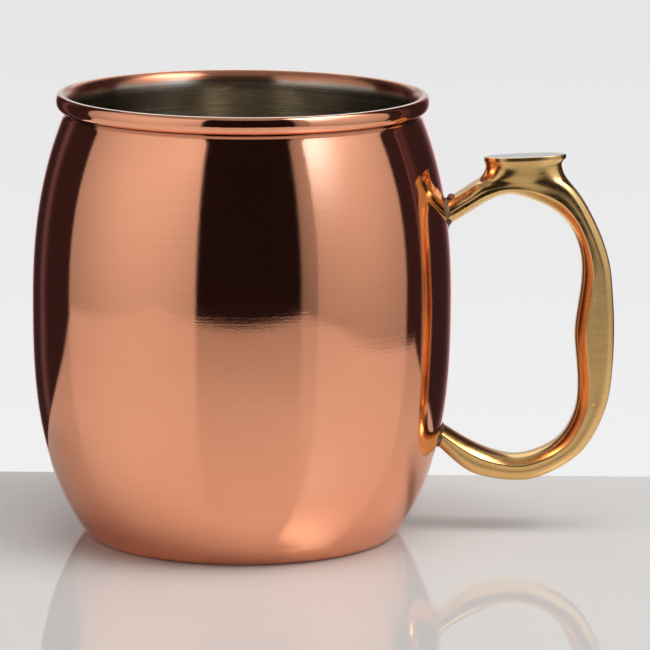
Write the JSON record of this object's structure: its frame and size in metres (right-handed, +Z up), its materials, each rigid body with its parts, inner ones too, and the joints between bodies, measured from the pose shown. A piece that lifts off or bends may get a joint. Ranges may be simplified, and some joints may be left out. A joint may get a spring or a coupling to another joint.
{
  "type": "mug",
  "caption": "Barrel-shaped copper mug with a rolled wired rim, a steel lining and a brazed cast-brass handle with a thumb rest.",
  "frame": {"origin": "centre of the flat base, where the mug's axis meets the table", "axes": "+Z up along the mug's axis, +X from the axis towards the handle, +Y across the handle"},
  "size_m": [0.1316, 0.0946, 0.1],
  "materials": {
    "copper": "polished copper",
    "steel": "brushed",
    "wire": "drawn",
    "brass": "polished casting",
    "braze": "brazed joint, wiped clean"
  },
  "bodies": {
    "root": {"copper_shell": "copper", "steel_lining": "steel", "rim_wire": "wire", "brass_handle": "brass", "upper_braze": "braze", "lower_braze": "braze"}
  },
  "joints": []
}
